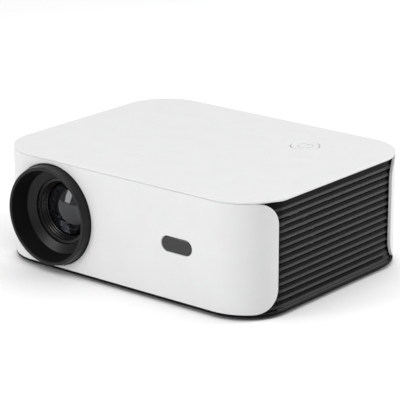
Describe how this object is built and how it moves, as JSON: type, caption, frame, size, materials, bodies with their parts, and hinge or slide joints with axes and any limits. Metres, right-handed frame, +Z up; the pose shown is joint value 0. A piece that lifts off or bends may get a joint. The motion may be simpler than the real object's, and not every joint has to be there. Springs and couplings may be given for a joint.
{
  "type": "home projector",
  "caption": "Flat rounded white projector with slatted black sides, a hooded focusing lens at one end of its front, a remote-sensor window and a top power button.",
  "frame": {"origin": "middle of the bounding box in plan, on the surface the feet stand on", "axes": "+X towards the object's left side (the viewer's right when facing its front), along its longest side; +Y from the lens side to the rear; +Z up"},
  "size_m": [0.2, 0.1616, 0.07],
  "materials": {
    "white_shell": "satin moulded white ABS, fine spark-eroded texture",
    "black_shell": "matte black moulded ABS with a fine grain",
    "hood_black": "satin black polycarbonate, fine turned grooves inside",
    "lens_black": "matte black lens-mount plastic",
    "coated_glass": "coated lens glass",
    "window_black": "gloss smoked infrared window",
    "foot_rubber": "matte black rubber",
    "brass": "turned brass",
    "screw_steel": "zinc-plated steel",
    "socket_steel": "plated sheet steel",
    "socket_black": "black socket plastic",
    "plunger_blue": "blue switch plunger",
    "engine_black": "glass-filled black plastic",
    "mirror": "first-surface mirror",
    "clear_optic": "clear optical plate",
    "lcd_black": "polariser film on display glass",
    "bare_aluminium": "extruded aluminium",
    "copper_board": "copper-core lamp board",
    "fan_black": "black fan plastic",
    "board_green": "solder-masked circuit board",
    "filter_foam": "open-cell filter foam",
    "speaker_metal": "painted steel basket",
    "cone_paper": "coated paper cone"
  },
  "bodies": {
    "chassis": {"top_cover": "white_shell", "front_panel": "white_shell", "rear_panel": "white_shell", "base_tray": "black_shell", "left_grille": "black_shell", "right_grille": "black_shell", "lens_barrel": "lens_black", "ir_window": "window_black", "foot_front_left": "foot_rubber", "foot_front_right": "foot_rubber", "foot_rear_left": "foot_rubber", "foot_rear_right": "foot_rubber", "tripod_insert": "brass", "case_screws": "screw_steel", "button_board_screws": "screw_steel", "lens_screws": "screw_steel", "engine_screws": "screw_steel", "fan_screws": "screw_steel", "board_screws": "screw_steel", "barrel_clip": "screw_steel", "hdmi_socket": "socket_steel", "usb_socket": "socket_steel", "audio_jack": "socket_black", "dc_inlet": "socket_black", "tact_switch": "socket_black", "engine_housing": "engine_black", "engine_lid": "engine_black", "fold_mirror": "mirror", "front_fresnel": "clear_optic", "rear_fresnel": "clear_optic", "heat_glass": "clear_optic", "condenser_lens": "clear_optic", "lcd_panel": "lcd_black", "led_heatsink": "bare_aluminium", "chip_heatsink": "bare_aluminium", "light_funnel": "bare_aluminium", "led_module": "copper_board", "exhaust_fan_frame": "fan_black", "blower_housing": "fan_black", "blower_cover": "fan_black", "main_board": "board_green", "button_board": "board_green", "ir_receiver_board": "board_green", "driver_board": "board_green", "dust_filter": "filter_foam", "speaker_frame": "speaker_metal", "speaker_cone": "cone_paper"},
    "focus_ring": {"focus_ring": "hood_black"},
    "lens_cell": {"lens_cell": "lens_black", "front_retainer": "hood_black", "front_element": "coated_glass", "spacer_ring": "lens_black", "middle_element": "coated_glass", "rear_element": "coated_glass", "rear_retainer": "lens_black"},
    "power_button": {"power_button": "white_shell", "switch_plunger": "plunger_blue"},
    "exhaust_fan_rotor": {"exhaust_fan_rotor": "fan_black"},
    "blower_rotor": {"blower_rotor": "fan_black"}
  },
  "joints": [
    {"name": "focus_turn", "type": "hinge", "parent": "chassis", "child": "focus_ring", "pos_m": [-0.0526, -0.0752, 0.0355], "axis": [0, 1, 0], "range_deg": [-80, 80]},
    {"name": "focus_slide", "type": "slide", "parent": "chassis", "child": "lens_cell", "axis": [0, 1, 0], "range_m": [-0.0045, 0.0045]},
    {"name": "button_press", "type": "slide", "parent": "chassis", "child": "power_button", "axis": [0, 0, -1], "range_m": [0, 0.0006], "stiffness_N_per_m": 1500, "springref_m": -0.0005},
    {"name": "exhaust_fan_spin", "type": "hinge", "parent": "chassis", "child": "exhaust_fan_rotor", "pos_m": [0.078, 0.03, 0.035], "axis": [1, 0, 0], "continuous": true},
    {"name": "blower_spin", "type": "hinge", "parent": "chassis", "child": "blower_rotor", "pos_m": [0.034, -0.046, 0.008], "axis": [0, 0, 1], "continuous": true}
  ],
  "couplings": [
    {"joint": "focus_slide", "follows": "focus_turn", "m_per_rad": 0.0032}
  ]
}
